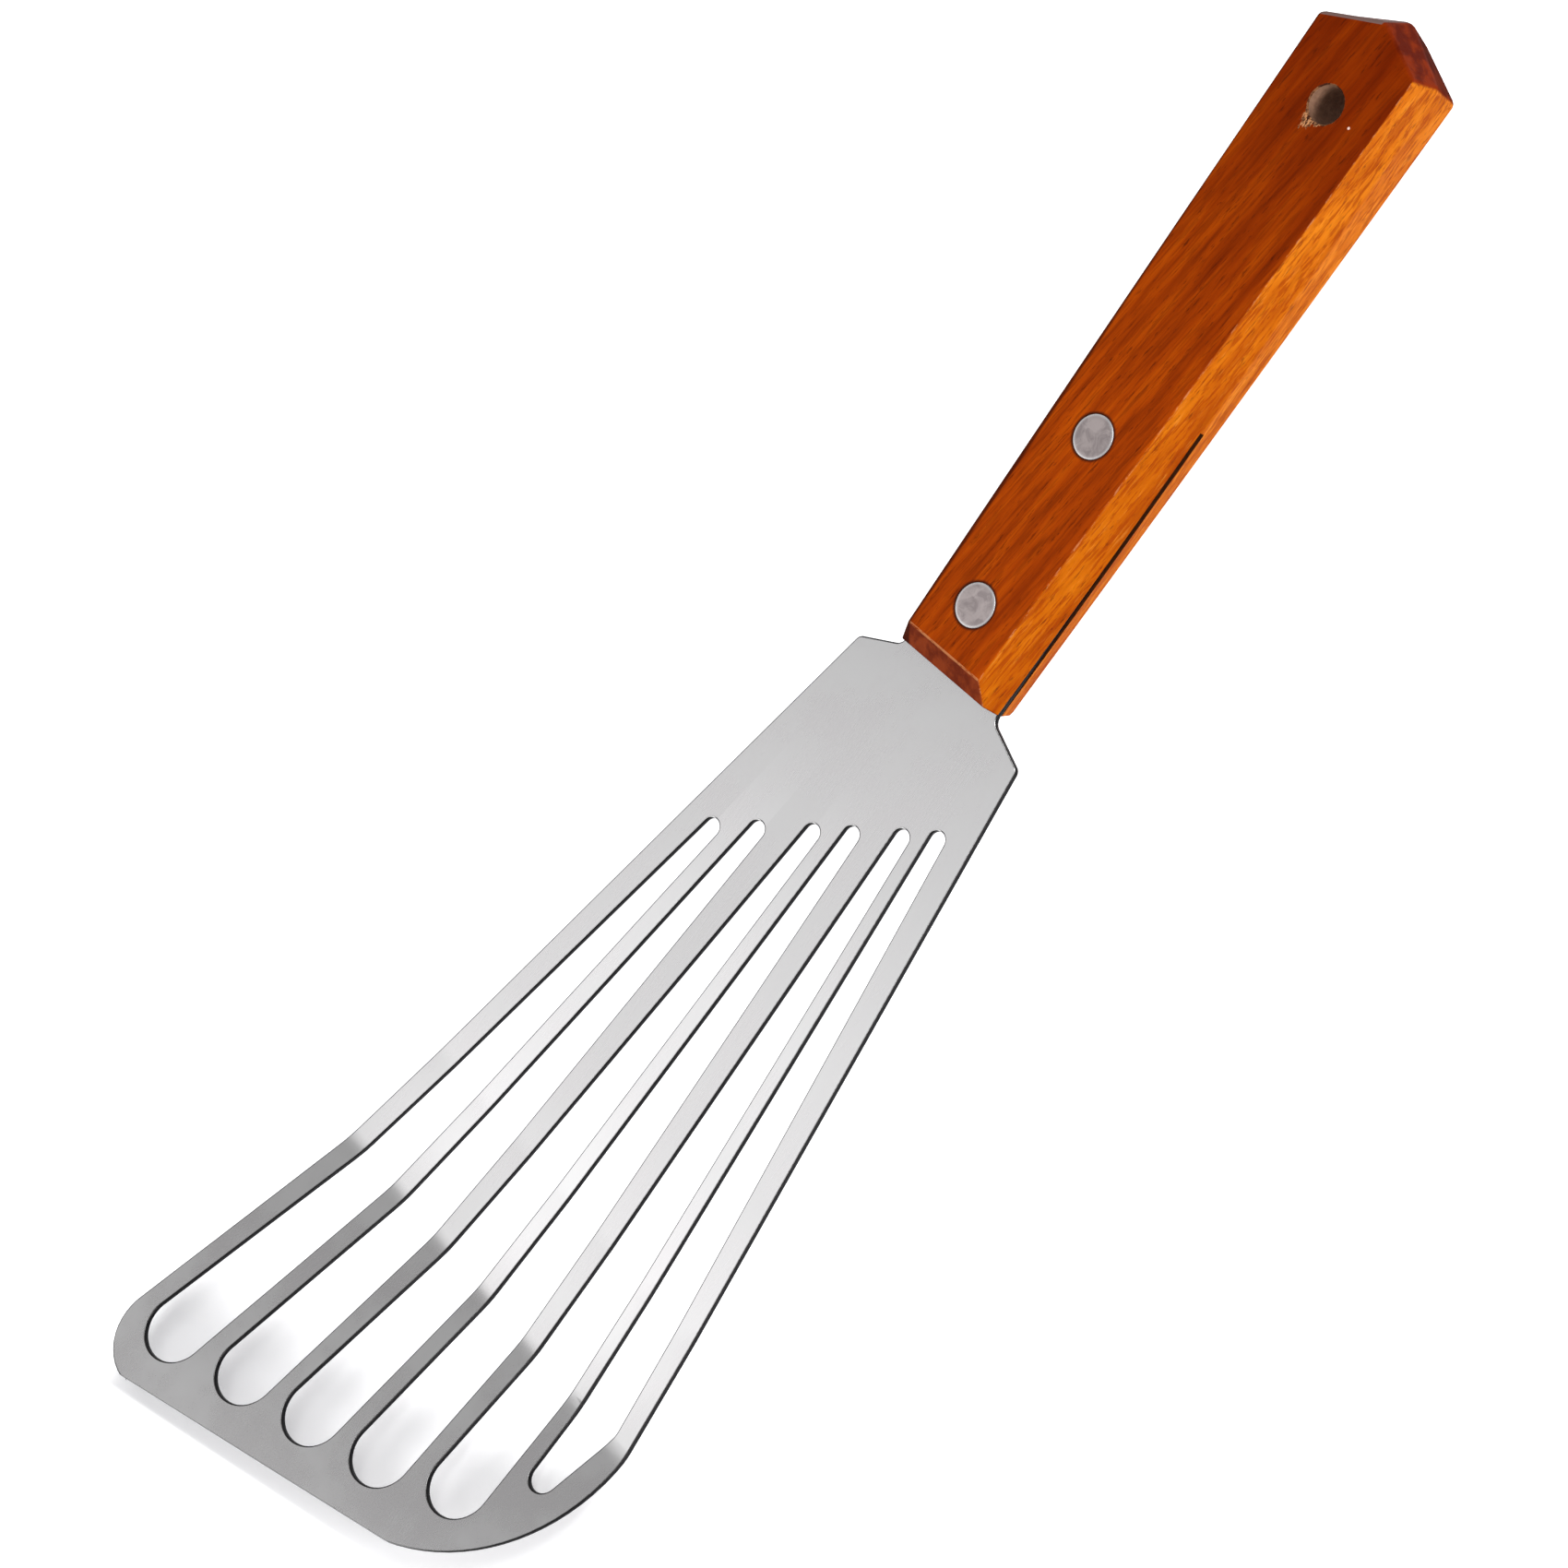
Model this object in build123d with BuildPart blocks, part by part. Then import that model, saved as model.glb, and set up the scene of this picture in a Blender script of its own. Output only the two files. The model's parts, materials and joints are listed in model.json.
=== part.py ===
from build123d import *
import os

# A fish spatula: a slotted, springy steel blade whose tang sits in a saw cut in a
# one-piece wooden handle, held by two pressed cutler's rivets.
#
# Frame: millimetres, origin on the axis of the hang hole, halfway through the handle.
# +X runs along the handle towards the tip of the blade, +Y to the side of the blade
# with the large round corner, and +Z out of the face that the tip bends up towards.

# Handle, a block of wood with a ridge round its middle and a flat on top and below.
# Each flare is how far the ridge stands out beyond the flats at that place.
handle_thickness = 14.5
hole_to_front = 114.8
hole_to_point = 18.9
hole_to_corner = 12.6
belly_station = 55.0
front_width = 24.4
belly_width = 25.8
butt_width = 23.6
front_flare = 3.1
belly_flare = 2.45
butt_flare = 0.2
point_flare = 2.2
corner_flare = 0.8
front_bevel = 3.6
lower_front_bevel = 0.8
crease_radius = 0.5
ridge_radius = 1.5
butt_corner_radius = 1.5
hang_hole_diameter = 6.8
hang_hole_rim = 0.3

# Rivets, each a socket pressed onto a pin through handle and tang
rear_rivet_station = 67.3
rivet_spacing = 34.5
rivet_head_diameter = 8.0
rivet_head_depth = 2.2
socket_diameter = 5.0
pin_diameter = 3.4
pin_end_gap = 0.6
socket_end_gap = 0.5

# Sheet that the blade is stamped from
sheet_thickness = 1.1
kerf_play = 0.1
rivet_hole_play = 0.2

# Tang and neck
tang_width = 24.0
tang_end_station = 58.0
tang_corner_radius = 3.0
kerf_end_gap = 1.6
neck_length = 1.2
neck_radius = 2.0
shoulder_run = 3.7
shoulder_radius = 1.5

# Blade outline as seen from above, left is -Y and right is +Y
left_shoulder = 20.1
right_shoulder = 21.3
left_corner_station = 302.8
left_corner_offset = 59.3
right_corner_station = 284.8
right_corner_offset = 40.5
left_corner_radius = 9.8
right_corner_radius = 36.0

# The blade rises softly at first, then bends up across the whole tip
soft_bend_run = 22.7
soft_bend_angle = 2.0
soft_bend_radius = 150.0
bend_station = 249.3
bend_skew = 5.5
bend_angle = 13.8
bend_radius = 20.0
front_edge_grind = 1.2
front_edge_grind_depth = 0.5

# Slots, tapered, with a small round head near the handle and a large round foot.
# The row of heads lies ahead of the shoulders, the row of feet behind the front corners.
slot_head_radius = 1.7
slot_foot_radius = 5.9
left_head_run = 41.9
left_head_offset = 22.5
right_head_run = 18.0
right_head_offset = 16.2
head_row_shares = (0.0, 0.203, 0.449, 0.624, 0.844, 1.0)
left_foot_setback = 14.8
left_foot_inset = 13.1
right_foot_setback = 8.5
right_foot_inset = 24.1
foot_row_shares = (0.0, 0.26, 0.508, 0.755, 1.0)
corner_crowding = 2.3

# The last slot is slimmer and bends round to follow the large corner
corner_belly_setback = 34.5
corner_belly_inset = 12.5
corner_belly_radius = 4.5
corner_foot_setback = 21.2
corner_foot_inset = 12.9
corner_foot_radius = 2.7

# One overrun that carries every cut clear of the surfaces it passes
overrun = 5.0

half_thickness = handle_thickness / 2
half_sheet = sheet_thickness / 2
front_rivet_station = rear_rivet_station + rivet_spacing
rivet_stations = {"rear": rear_rivet_station, "front": front_rivet_station}
neck_station = hole_to_front + neck_length
shoulder_station = neck_station + shoulder_run

head_row_start = Vector(shoulder_station + left_head_run, -left_head_offset, 0)
head_row_end = Vector(shoulder_station + right_head_run, right_head_offset, 0)
left_corner = Vector(left_corner_station, -left_corner_offset, 0)
right_corner = Vector(right_corner_station, right_corner_offset, 0)
foot_row_start = left_corner + Vector(-left_foot_setback, left_foot_inset, 0)
foot_row_end = right_corner - Vector(right_foot_setback, right_foot_inset, 0)
corner_belly = right_corner - Vector(corner_belly_setback, corner_belly_inset, 0)
corner_foot = right_corner - Vector(corner_foot_setback, corner_foot_inset, 0)

bend_origin = Vector(bend_station, 0, 0)
past_bend = Vector(1, 0, 0).rotate(Axis.Z, -bend_skew)
up = Vector(0, 0, 1)


def along(start, end, share):
    """The point at a share of the way from start to end."""
    return start + (end - start) * share


def handle_outline(front, belly, butt, point, corner):
    """Outline of the handle: square front, gently swelling sides and a pointed butt."""
    with BuildSketch() as outline:
        with BuildLine():
            side = ThreePointArc(
                (hole_to_front, front / 2),
                (belly_station, belly / 2),
                (-corner, butt / 2),
            )
            Line(side @ 1, (-point, 0))
            mirror(about=Plane.XZ)
            Line(side @ 0, (hole_to_front, -front / 2))
        make_face()
    return outline.sketch


# Handle
with BuildPart() as handle:
    with BuildSketch():
        add(handle_outline(front_width, belly_width, butt_width, hole_to_point, hole_to_corner))
    with BuildSketch(Plane.XY.offset(half_thickness)):
        add(
            handle_outline(
                front_width - 2 * front_flare,
                belly_width - 2 * belly_flare,
                butt_width - 2 * butt_flare,
                hole_to_point - point_flare,
                hole_to_corner - corner_flare,
            )
        )
    loft(ruled=True)
    mirror(about=Plane.XY)

    # The butt's upright corners, three in each half
    upright = handle.edges().filter_by(lambda edge: edge.bounding_box().size.Z > half_thickness / 2)
    fillet(upright.sort_by(Axis.X)[:6], butt_corner_radius)

    # A wide bevel on the upper front edge, a narrow one on the lower
    upper_front = handle.faces().filter_by(Plane.XY).sort_by(Axis.Z)[-1].edges().filter_by(Axis.Y)
    chamfer(upper_front, front_bevel)
    lower_front = handle.faces().filter_by(Plane.XY).sort_by(Axis.Z)[0].edges().filter_by(Axis.Y)
    chamfer(lower_front, lower_front_bevel)

    flats = handle.faces().filter_by(Plane.XY)
    fillet(flats.edges(), crease_radius)
    ridge = handle.edges().filter_by_position(Axis.Z, 0, 0)
    fillet(ridge.sort_by(Axis.X)[:-1], ridge_radius)

    # Saw cut for the tang, open at the front and at both sides
    kerf_end = tang_end_station - kerf_end_gap
    with BuildSketch(Plane.XZ):
        with Locations((kerf_end, 0)):
            Rectangle(
                hole_to_front - kerf_end + overrun,
                sheet_thickness + kerf_play,
                align=(Align.MIN, Align.CENTER),
            )
    extrude(amount=belly_width, both=True, mode=Mode.SUBTRACT)

    # Rivet holes, with a seat for a head at each end
    with Locations([(station, 0) for station in rivet_stations.values()]):
        Cylinder(socket_diameter / 2, handle_thickness, mode=Mode.SUBTRACT)
    for seat_plane in (Plane.XY.offset(half_thickness), -Plane.XY.offset(-half_thickness)):
        with BuildSketch(seat_plane):
            with Locations([(station, 0) for station in rivet_stations.values()]):
                Circle(rivet_head_diameter / 2)
        extrude(amount=-rivet_head_depth, mode=Mode.SUBTRACT)

    # Hang hole with a softened rim
    Cylinder(hang_hole_diameter / 2, handle_thickness, mode=Mode.SUBTRACT)
    rims = handle.edges().filter_by(GeomType.CIRCLE)
    rims = rims.filter_by(lambda edge: abs(edge.arc_center.X) < hang_hole_diameter)
    chamfer(rims, hang_hole_rim)
handle.part.label = "handle"


# Blade, with its neck and tang
with BuildPart() as blade:
    # The sheet seen from its side: level, rising softly, then bent up for the tip
    sheet_side = Plane(
        origin=bend_origin - up * half_sheet,
        x_dir=past_bend,
        z_dir=past_bend.cross(up),
    )
    sheet_reach = left_corner_station - bend_station + left_corner_offset
    soft_rise = Vector(soft_bend_run, 0, 0).rotate(Axis.Y, -soft_bend_angle)
    tip_rise = Vector(sheet_reach, 0, 0).rotate(Axis.Y, -bend_angle)
    with BuildSketch(sheet_side):
        with BuildLine():
            underside = FilletPolyline(
                (-bend_station, 0),
                (-soft_bend_run, 0),
                (0, soft_rise.Z),
                (tip_rise.X, soft_rise.Z + tip_rise.Z),
                radius=(soft_bend_radius, bend_radius + sheet_thickness),
            )
            offset(underside, amount=sheet_thickness, side=Side.LEFT)
        make_face()
    extrude(amount=left_corner_station, both=True)

    # The outline, cut through the bent sheet
    with BuildSketch():
        with BuildLine():
            FilletPolyline(
                (tang_end_station, -tang_width / 2),
                (neck_station, -tang_width / 2),
                (shoulder_station, -left_shoulder),
                left_corner,
                right_corner,
                (shoulder_station, right_shoulder),
                (neck_station, tang_width / 2),
                (tang_end_station, tang_width / 2),
                radius=[
                    tang_corner_radius,
                    neck_radius,
                    shoulder_radius,
                    left_corner_radius,
                    right_corner_radius,
                    shoulder_radius,
                    neck_radius,
                    tang_corner_radius,
                ],
                close=True,
            )
        make_face()
    extrude(amount=left_corner_station, both=True, mode=Mode.INTERSECT)

    # Five tapered slots, and a slimmer one that follows the large corner
    with BuildSketch() as slots:
        heads = [along(head_row_start, head_row_end, share) for share in head_row_shares]
        feet = [along(foot_row_start, foot_row_end, share) for share in foot_row_shares]
        feet[-1] = feet[-1] - Vector(corner_crowding, 0, 0)
        for head, foot in zip(heads, feet):
            with BuildSketch(mode=Mode.PRIVATE) as slot:
                with Locations(head):
                    Circle(slot_head_radius)
                with Locations(foot):
                    Circle(slot_foot_radius)
                make_hull()
            add(slot.sketch)
        with BuildSketch(mode=Mode.PRIVATE) as corner_slot:
            with Locations(heads[-1]):
                Circle(slot_head_radius)
            with Locations(corner_belly):
                Circle(corner_belly_radius)
            with Locations(corner_foot):
                Circle(corner_foot_radius)
            make_hull()
        add(corner_slot.sketch)
    extrude(amount=left_corner_station, both=True, mode=Mode.SUBTRACT)

    # Clearance holes for the rivet sockets
    with Locations([(station, 0) for station in rivet_stations.values()]):
        Cylinder(
            socket_diameter / 2 + rivet_hole_play,
            sheet_thickness + overrun,
            mode=Mode.SUBTRACT,
        )

    # Thin grind along the upper front edge, running out into the corners
    tip_face = blade.faces().filter_by(GeomType.PLANE).sort_by(Axis.Z)[-1]
    front_edge = tip_face.edges().filter_by(GeomType.LINE).sort_by_distance(
        (left_corner_station, 0, tip_face.center().Z)
    )[0]
    front_run = max(front_edge % 0.5, front_edge % 0.5 * -1, key=lambda run: run.Y)
    grind_section = Plane(
        origin=front_edge @ 0.5,
        x_dir=tip_face.normal_at().cross(front_run),
        z_dir=front_run,
    )
    with BuildSketch(grind_section):
        with BuildLine():
            Polyline(
                (2 * front_edge_grind, front_edge_grind_depth),
                (-front_edge_grind, -2 * front_edge_grind_depth),
                (-front_edge_grind, front_edge_grind_depth),
                close=True,
            )
        make_face()
    extrude(amount=left_corner_offset, both=True, mode=Mode.SUBTRACT)
blade.part.label = "blade"


# Rivets: a headed socket from above and a headed pin pressed into it from below
rivets = []
for end_name, station in rivet_stations.items():
    head_seat = half_thickness - rivet_head_depth
    with BuildPart() as socket:
        with Locations((station, 0, half_thickness)):
            Cylinder(
                rivet_head_diameter / 2,
                rivet_head_depth,
                align=(Align.CENTER, Align.CENTER, Align.MAX),
            )
        with Locations((station, 0, head_seat)):
            Cylinder(
                socket_diameter / 2,
                2 * head_seat - socket_end_gap,
                align=(Align.CENTER, Align.CENTER, Align.MAX),
            )
            Cylinder(
                pin_diameter / 2,
                2 * head_seat - socket_end_gap,
                align=(Align.CENTER, Align.CENTER, Align.MAX),
                mode=Mode.SUBTRACT,
            )
    socket.part.label = f"{end_name}_rivet_socket"
    with BuildPart() as pin:
        with Locations((station, 0, -half_thickness)):
            Cylinder(
                rivet_head_diameter / 2,
                rivet_head_depth,
                align=(Align.CENTER, Align.CENTER, Align.MIN),
            )
        with Locations((station, 0, -head_seat)):
            Cylinder(
                pin_diameter / 2,
                2 * head_seat - pin_end_gap,
                align=(Align.CENTER, Align.CENTER, Align.MIN),
            )
    pin.part.label = f"{end_name}_rivet_pin"
    rivets += [socket.part, pin.part]

os.makedirs("parts", exist_ok=True)
for piece in [handle.part, blade.part] + rivets:
    export_step(piece, f"parts/{piece.label}.step")
    print(piece.label, round(piece.volume, 1), piece.is_valid, len(piece.faces()))
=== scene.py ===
# %% [markdown]
# # A fish spatula, dressed for its picture
#
# The spatula has a bent and slotted steel blade, a one-piece wooden handle that is slit
# for the tang, and two pressed rivets. The measured shapes come packed with the part.
# This lesson gives them softened edges, worn varnish, satin steel and scuffed rivets,
# and then sets up a plain pale studio. Everything is in metres, with X running from the
# handle to the tip and Z out of the face that the tip bends up towards.

# %% Load the measured part
import json
import math

import bpy
from mathutils import Matrix, Vector

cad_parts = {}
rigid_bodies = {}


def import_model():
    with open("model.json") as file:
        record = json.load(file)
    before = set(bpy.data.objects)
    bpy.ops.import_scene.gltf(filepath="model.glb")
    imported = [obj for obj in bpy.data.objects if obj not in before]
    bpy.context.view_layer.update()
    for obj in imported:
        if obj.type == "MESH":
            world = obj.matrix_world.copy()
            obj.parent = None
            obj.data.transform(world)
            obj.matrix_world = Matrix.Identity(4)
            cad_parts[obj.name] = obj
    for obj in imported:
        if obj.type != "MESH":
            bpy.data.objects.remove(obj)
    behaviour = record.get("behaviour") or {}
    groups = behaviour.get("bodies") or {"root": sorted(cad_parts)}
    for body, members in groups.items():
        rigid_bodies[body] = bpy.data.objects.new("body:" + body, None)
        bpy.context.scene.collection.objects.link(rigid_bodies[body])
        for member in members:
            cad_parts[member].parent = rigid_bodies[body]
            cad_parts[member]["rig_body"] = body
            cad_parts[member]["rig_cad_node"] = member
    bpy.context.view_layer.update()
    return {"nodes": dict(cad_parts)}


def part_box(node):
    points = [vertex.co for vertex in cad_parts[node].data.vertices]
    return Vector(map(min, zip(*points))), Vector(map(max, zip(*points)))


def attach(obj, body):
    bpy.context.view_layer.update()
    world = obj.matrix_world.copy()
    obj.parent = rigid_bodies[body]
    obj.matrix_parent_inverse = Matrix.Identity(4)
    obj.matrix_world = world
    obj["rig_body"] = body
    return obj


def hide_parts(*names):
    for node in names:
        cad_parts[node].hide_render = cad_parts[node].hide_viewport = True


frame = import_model()
nodes = frame["nodes"]
mm = 0.001
print("nodes:", sorted(nodes))

# %% [markdown]
# ## Working habits
#
# Loading leaves things selected, and an operator acts on all that is selected. So each
# step first clears the selection and then picks its one object. A finished piece sits at
# the origin with its place kept in its mesh, the way the measured nodes do.


# %% Pick one object
def pick(piece):
    if bpy.context.mode != "OBJECT":
        bpy.ops.object.mode_set(mode="OBJECT")
    bpy.ops.object.select_all(action="DESELECT")
    piece.hide_set(False)
    piece.select_set(True)
    bpy.context.view_layer.objects.active = piece


def settle(piece):
    pick(piece)
    bpy.ops.object.transform_apply(location=True, rotation=True, scale=True)


# %% [markdown]
# ## A clean copy of a measured shape
#
# A measured node is a soup of loose triangles. Bevels need joined edges, so the copy is
# merged, and flat areas are dissolved into single faces. Modelling the blade again by
# eye would lose its exact outline, and that outline is what makes it this spatula.


# %% Copy, merge and clean
def clean_copy(node_name, piece_name):
    piece = nodes[node_name].copy()
    piece.data = nodes[node_name].data.copy()
    piece.name = piece.data.name = piece_name
    piece.parent = None
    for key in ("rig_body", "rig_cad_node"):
        if key in piece:
            del piece[key]
    bpy.context.scene.collection.objects.link(piece)
    pick(piece)
    bpy.ops.mesh.customdata_custom_splitnormals_clear()
    bpy.ops.object.mode_set(mode="EDIT")
    bpy.ops.mesh.select_all(action="SELECT")
    bpy.ops.mesh.remove_doubles(threshold=0.002 * mm)
    bpy.ops.mesh.dissolve_limited(angle_limit=math.radians(0.4))
    bpy.ops.object.mode_set(mode="OBJECT")
    print(piece_name, "faces after cleaning:", len(piece.data.polygons))
    return piece


# %% [markdown]
# ## Rounded edges and finishes for any piece
#
# Real edges are never quite sharp, and the light on them makes a picture look true. So
# each edge gets a weight by a rule, and a bevel rounds it by that share. A rule also
# gives every face its finish, as picking hundreds of them by hand would take too long.


# %% Weigh the edges that get rounded
def weigh_edges(piece, chooser):
    mesh = piece.data
    sides = {}
    for face in mesh.polygons:
        for key in face.edge_keys:
            sides.setdefault(key, []).append(face.normal)
    weights = mesh.attributes.new("bevel_weight_edge", "FLOAT", "EDGE")
    picked = 0
    for edge in mesh.edges:
        normals = sides.get(tuple(sorted(edge.vertices)), [])
        ends = [mesh.vertices[v].co for v in edge.vertices]
        turn = math.degrees(normals[0].angle(normals[1])) if len(normals) == 2 else 0
        weight = chooser(ends, turn)
        weights.data[edge.index].value = weight
        picked += weight > 0
    print(piece.name, "edges weighed for rounding:", picked, "of", len(mesh.edges))


# %% Round the weighed edges and mark the new faces
def round_edges(piece, width, segments, edge_slot):
    pick(piece)
    bevel = piece.modifiers.new("softened_edges", "BEVEL")
    bevel.width = width
    bevel.segments = segments
    bevel.limit_method = "WEIGHT"
    bevel.use_clamp_overlap = False
    bevel.material = edge_slot
    bpy.ops.object.modifier_apply(modifier=bevel.name)
    piece.data.attributes.remove(piece.data.attributes["bevel_weight_edge"])
    crumb = 0.0005 * mm  # a bevel leaves a few faces of no size, which are merged away
    bpy.ops.object.mode_set(mode="EDIT")
    bpy.ops.mesh.select_all(action="SELECT")
    bpy.ops.mesh.remove_doubles(threshold=crumb)
    bpy.ops.mesh.dissolve_degenerate(threshold=crumb)
    bpy.ops.object.mode_set(mode="OBJECT")
    print(piece.name, "faces after rounding:", len(piece.data.polygons))


def even_shading(piece):
    pick(piece)
    weighted = piece.modifiers.new("even_flats", "WEIGHTED_NORMAL")
    weighted.keep_sharp = True
    bpy.ops.object.shade_smooth_by_angle(angle=math.radians(40))
    bpy.ops.object.modifier_apply(modifier=weighted.name)


# %% Give each face its finish
def dress(piece, chooser):
    counts = {}
    for face in piece.data.polygons:
        face.material_index = chooser(face)
        counts[face.material_index] = counts.get(face.material_index, 0) + 1
    print(piece.name, "faces by finish slot:", counts)


def slots_for(piece, materials):
    piece.data.materials.clear()
    for material in materials:
        piece.data.materials.append(material)


# %% [markdown]
# ## The blade
#
# The blade is stamped from thin sheet, and its edges are tumbled until they no longer
# cut the hand. A bevel rounds the sharp edges. It also marks its own faces, so that they
# can get a finish of their own, which paints a fine line beside every slot: a painted
# highlight where the edge faces the near side, painted shade elsewhere. The walls of the
# slots were sheared and are dull, and their colour is painted near black as shade. Where
# the ground front edge runs out into the large corner, the measured underside has
# hair-thin faces. A bevel would shoot out of them as a spike, so the edges in that small
# box stay sharp.

# %% Weights for the sheet
tumbled_round = 0.28 * mm
run_out_low = Vector((287.5, 11.9, 0)) * mm
run_out_high = Vector((290.0, 16.6, 9.95)) * mm
sharp_turn = 50


def sheet_weight(ends, turn):
    middle = (ends[0] + ends[1]) / 2
    at_run_out = all(run_out_low[i] < middle[i] < run_out_high[i] for i in range(3))
    return 1.0 if turn > sharp_turn and not at_run_out else 0.0


# %% Blade with tumbled edges
face_slot, edge_slot, wall_slot = range(3)
wall_limit, rounded_wall_limit = 0.5, 0.55
steel = bpy.data.materials.new("satin_steel")
tumbled = bpy.data.materials.new("tumbled_steel_edge")
sheared = bpy.data.materials.new("sheared_steel_wall")
blade = clean_copy("blade", "tumbled_blade")
slots_for(blade, [steel, tumbled, sheared])
dress(blade, lambda face: wall_slot if abs(face.normal.z) < wall_limit else face_slot)
weigh_edges(blade, sheet_weight)
round_edges(blade, width=tumbled_round, segments=3, edge_slot=edge_slot)
even_shading(blade)


def kept_or_wall(face):
    return wall_slot if abs(face.normal.z) < rounded_wall_limit else face.material_index


dress(blade, kept_or_wall)

# %% [markdown]
# ## The handle: a six-sided stick
#
# The handle was sawn as a stick with six sides and a pointed butt, its sides swell gently
# in the middle, and the front is chamfered. A bevel needs clean long edges, which the
# measured copy doesn't have, so the stick is drawn afresh with the same widths. A ring of
# six corners is extruded from station to station, the way one would pull it by hand.
# Each width is known at three stations, and a parabola through them gives the rest.

# %% Widths of the stick
half_thick = 7.25 * mm
front_x, chamfer_x, belly_x = 114.8 * mm, 111.2 * mm, 55.0 * mm
butt_ridge, butt_flat = (-12.6 * mm, 11.8 * mm), (-11.8 * mm, 11.6 * mm)
ridge_halves = ((front_x, 12.2 * mm), (belly_x, 12.9 * mm), butt_ridge)
flat_halves = ((front_x, 9.1 * mm), (belly_x, 10.45 * mm), butt_flat)


def swelling(known, x):
    total = 0.0
    for own_x, own_half in known:
        share = own_half
        for other_x, _ in known:
            if other_x != own_x:
                share *= (x - other_x) / (own_x - other_x)
        total += share
    return total


def six_corners(ridge, upper, lower, top=half_thick, bottom=-half_thick):
    return [
        (ridge[0], ridge[1], 0),
        (upper[0], upper[1], top),
        (upper[0], -upper[1], top),
        (ridge[0], -ridge[1], 0),
        (lower[0], -lower[1], bottom),
        (lower[0], lower[1], bottom),
    ]


def ring_at(x):
    flat = (x, swelling(flat_halves, x))
    return six_corners((x, swelling(ridge_halves, x)), flat, flat)


def slope_half(x, height):
    wide, narrow = swelling(ridge_halves, x), swelling(flat_halves, x)
    return wide + (narrow - wide) * height / half_thick


print("half width at the middle in mm:", round(swelling(ridge_halves, 50 * mm) / mm, 2))

# %% [markdown]
# ## Its rings
#
# The first two rings carry the wide upper and the narrow lower chamfer of the front. Then
# come evenly spaced rings along the swelling body. The last three draw the gable of the
# butt, which ends in an upright line.

# %% List the rings from front to butt
upper_drop, lower_drop = front_x - chamfer_x, 0.8 * mm
top, bottom = half_thick - upper_drop, lower_drop - half_thick
front_ridge = (front_x, swelling(ridge_halves, front_x))
front_upper = (front_x, slope_half(front_x, top))
front_lower = (front_x, slope_half(front_x, -bottom))
next_x = front_x - lower_drop
middle_top = half_thick - upper_drop + lower_drop
next_upper = (next_x, slope_half(next_x, middle_top))
next_lower = (next_x, swelling(flat_halves, next_x))
next_ridge = (next_x, swelling(ridge_halves, next_x))
body_end, body_steps = -2 * mm, 12
body_run = chamfer_x - body_end
gable_ridge, gable_flat = (-15.85 * mm, 5.7 * mm), (-14.35 * mm, 5.6 * mm)
point_ridge, point_flat = (-18.90 * mm, 0), (-16.7 * mm, 0)
rings = [
    six_corners(front_ridge, front_upper, front_lower, top, bottom),
    six_corners(next_ridge, next_upper, next_lower, middle_top),
]
rings += [ring_at(chamfer_x - step * body_run / body_steps) for step in range(body_steps + 1)]
rings.append(six_corners(butt_ridge, butt_flat, butt_flat))
rings.append(six_corners(gable_ridge, gable_flat, gable_flat))
rings.append(six_corners(point_ridge, point_flat, point_flat))
print("rings:", len(rings))


# %% [markdown]
# ## Pull the stick
#
# A disc with six corners stands at the front. It is extruded ring by ring, and each time
# its corners move to their places. At the butt some corners meet, and they are merged.


# %% Extrude the ring through its stations
def around(vertex):
    return math.atan2(vertex.co.z, vertex.co.y) % (2 * math.pi)


def place_ring(piece, ring):
    bpy.ops.object.mode_set(mode="OBJECT")
    chosen = sorted((v for v in piece.data.vertices if v.select), key=around)
    for vertex, corner in zip(chosen, ring):
        vertex.co = corner
    bpy.ops.object.mode_set(mode="EDIT")


def extrude(along_x, along_z):
    bpy.ops.mesh.extrude_region_move(TRANSFORM_OT_translate={"value": (along_x, 0, along_z)})


bpy.ops.object.select_all(action="DESELECT")
bpy.ops.mesh.primitive_circle_add(
    vertices=6,
    radius=10 * mm,
    fill_type="NGON",
    location=(front_x, 0, 0),
    rotation=(math.radians(10), math.radians(90), 0),
)
handle = bpy.context.object
handle.name = handle.data.name = "sanded_handle"
settle(handle)
bpy.ops.object.mode_set(mode="EDIT")
bpy.ops.mesh.select_all(action="SELECT")
place_ring(handle, rings[0])
for ring in rings[1:]:
    extrude(-2 * mm, 0)
    place_ring(handle, ring)
bpy.ops.mesh.select_all(action="SELECT")
bpy.ops.mesh.remove_doubles(threshold=0.01 * mm)
bpy.ops.mesh.delete_loose()
bpy.ops.mesh.select_all(action="SELECT")
bpy.ops.mesh.normals_make_consistent(inside=False)
bpy.ops.object.mode_set(mode="OBJECT")
print("stick:", len(handle.data.vertices), "corners,", len(handle.data.polygons), "faces")

# %% [markdown]
# ## Round its edges
#
# Each kind of edge was worn or sanded by its own amount: the long creases a little, the
# side ridges and the corners of the butt a lot, the front only just. So every edge gets
# a weight, which is its own share of one millimetre of bevel.

# %% Weights for the stick
front_share, corner_share, ridge_share, butt_share, crease_share = 0.30, 0.95, 0.64, 0.75, 0.33
flat_turn = 12


def stick_weight(ends, turn):
    middle = (ends[0] + ends[1]) / 2
    at_front = middle.x > 112 * mm or (middle.x > 111 * mm and middle.z > 7 * mm)
    upright = abs(ends[0].z - ends[1].z) > 3 * mm
    if turn < flat_turn:
        return 0.0
    if at_front:
        return front_share
    if upright:
        return corner_share
    if abs(middle.z) < 1 * mm:
        return ridge_share
    return butt_share if middle.x < -11.9 * mm else crease_share


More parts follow.
